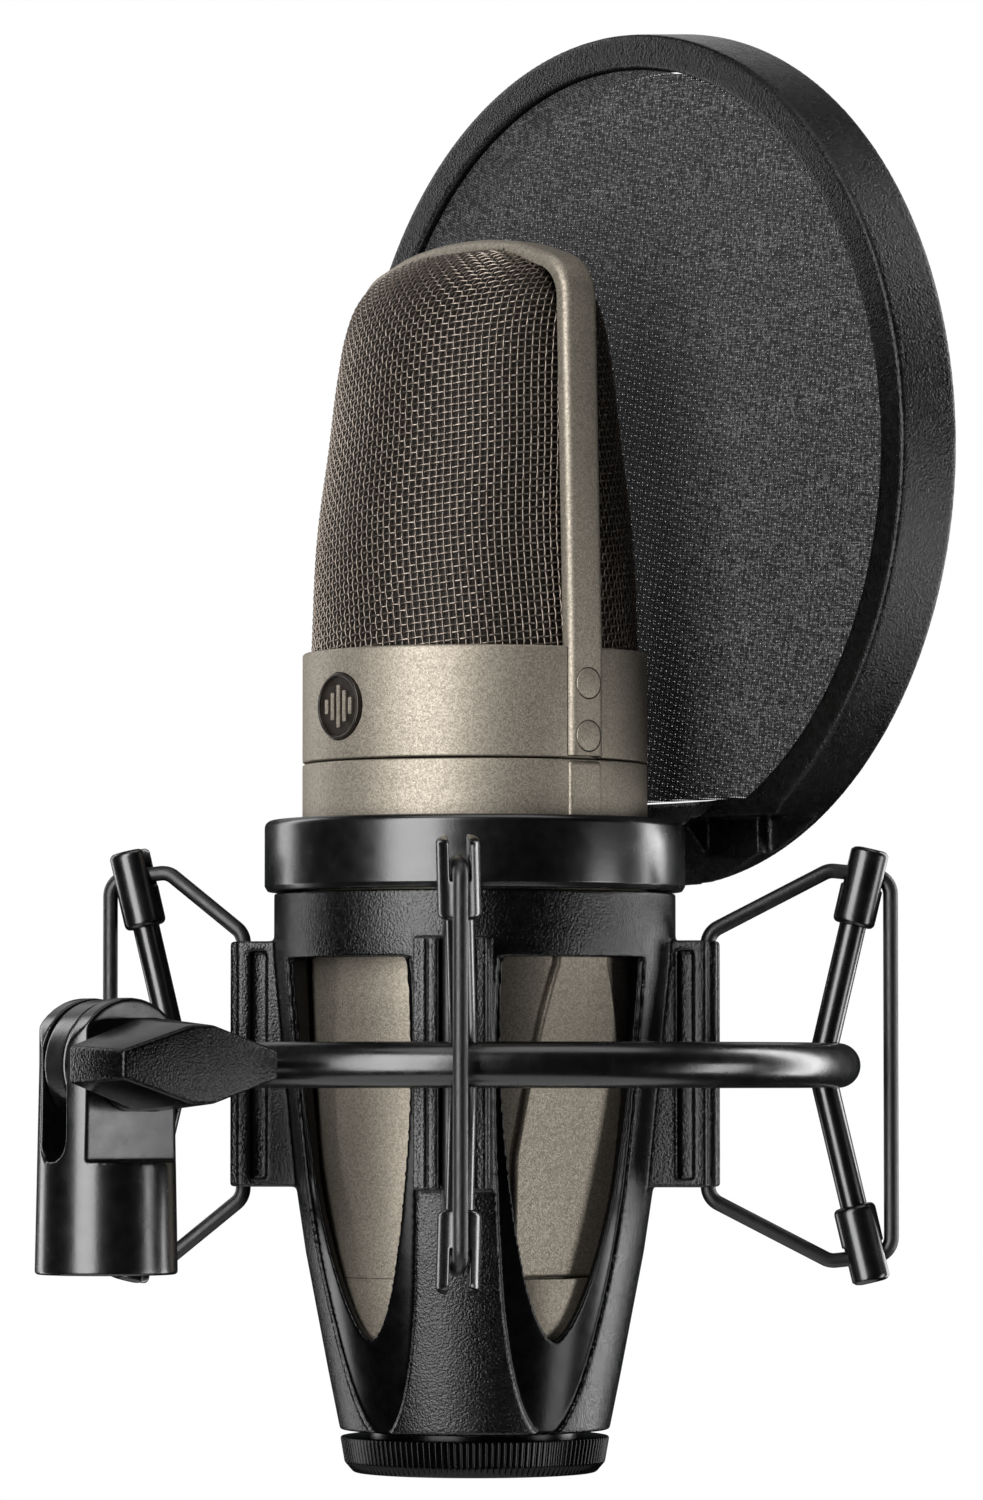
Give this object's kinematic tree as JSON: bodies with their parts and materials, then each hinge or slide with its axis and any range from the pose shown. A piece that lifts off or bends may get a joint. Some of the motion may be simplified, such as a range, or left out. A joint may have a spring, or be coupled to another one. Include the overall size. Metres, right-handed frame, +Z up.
{
  "type": "condenser microphone",
  "caption": "Side-address microphone in an elastic ring shock mount on a tilting stand adapter, with a round pop filter.",
  "frame": {"origin": "centre of the stand socket's mouth, on the stand adapter's underside", "axes": "+Z up along the socket and the microphone, +Y away from the pop filter, X along the swivel"},
  "size_m": [0.137, 0.147, 0.2286],
  "materials": {
    "black_metal": "satin",
    "ring_metal": "satin",
    "black_plastic": "matte",
    "cradle_plastic": "matte",
    "elastic": "satin",
    "champagne": "satin",
    "wire": "satin",
    "badge": "satin",
    "pop_fabric": "matte",
    "brass": "satin",
    "steel": "satin",
    "gold": "gloss",
    "board": "satin",
    "insulator": "satin"
  },
  "bodies": {
    "stand": {"stand_adapter": "black_metal", "thread_insert": "brass", "swivel_bolt": "steel", "friction_washer_left": "insulator", "friction_washer_right": "insulator"},
    "knob": {"wing_knob": "black_plastic", "knob_nut": "brass"},
    "ring": {"ring_hoop": "ring_metal", "hinge_tab": "black_metal", "upper_rod_1": "black_metal", "upper_cap_1": "black_metal", "lower_rod_1": "black_metal", "lower_cap_1": "black_metal", "elastic_band_1": "elastic", "upper_rod_2": "black_metal", "upper_cap_2": "black_metal", "lower_rod_2": "black_metal", "lower_cap_2": "black_metal", "elastic_band_2": "elastic", "upper_rod_3": "black_metal", "upper_cap_3": "black_metal", "lower_rod_3": "black_metal", "lower_cap_3": "black_metal", "elastic_band_3": "elastic", "upper_rod_4": "black_metal", "upper_cap_4": "black_metal", "lower_rod_4": "black_metal", "lower_cap_4": "black_metal", "elastic_band_4": "elastic"},
    "cradle": {"cradle": "cradle_plastic", "tail_cup": "champagne", "inlet_insert": "black_plastic", "inlet_pin_1": "gold", "inlet_pin_2": "gold", "inlet_pin_3": "gold", "lower_housing": "champagne", "grille_band": "champagne", "badge": "badge", "arch_frame": "champagne", "left_upper_screw_cover": "champagne", "left_lower_screw_cover": "champagne", "right_upper_screw_cover": "champagne", "right_lower_screw_cover": "champagne", "rear_grille": "wire", "front_grille": "wire", "capsule_body": "brass", "front_diaphragm": "gold", "rear_diaphragm": "gold", "front_clamp_ring": "brass", "rear_clamp_ring": "brass", "capsule_stem": "insulator", "insulating_deck": "insulator", "circuit_board": "board", "output_transformer": "steel"},
    "base_nut": {"base_nut": "black_plastic"},
    "pop_filter": {"pop_filter_collar": "black_metal", "collar_latch": "black_metal", "pop_filter_rim": "black_plastic", "back_pop_fabric": "pop_fabric", "front_pop_fabric": "pop_fabric"}
  },
  "joints": [
    {"name": "swivel_tilt", "type": "hinge", "parent": "stand", "child": "ring", "pos_m": [0, 0, 0.0313], "axis": [1, 0, 0], "range_deg": [-90, 35]},
    {"name": "knob_turn", "type": "hinge", "parent": "stand", "child": "knob", "pos_m": [0, 0, 0.0313], "axis": [1, 0, 0], "continuous": true},
    {"name": "cradle_float", "type": "slide", "parent": "ring", "child": "cradle", "axis": [0, 0, 1], "range_m": [-0.003, 0.003], "stiffness_N_per_m": 4000, "springref_m": 0.00235, "deforming": ["elastic_band_1", "elastic_band_2", "elastic_band_3", "elastic_band_4"]},
    {"name": "nut_turn", "type": "hinge", "parent": "cradle", "child": "base_nut", "pos_m": [0, -0.0709, -0.0319], "axis": [0, 0, 1], "continuous": true},
    {"name": "collar_swing", "type": "hinge", "parent": "cradle", "child": "pop_filter", "pos_m": [0, -0.0709, 0.0639], "axis": [0, 0, 1], "range_deg": [-25, 25]}
  ]
}
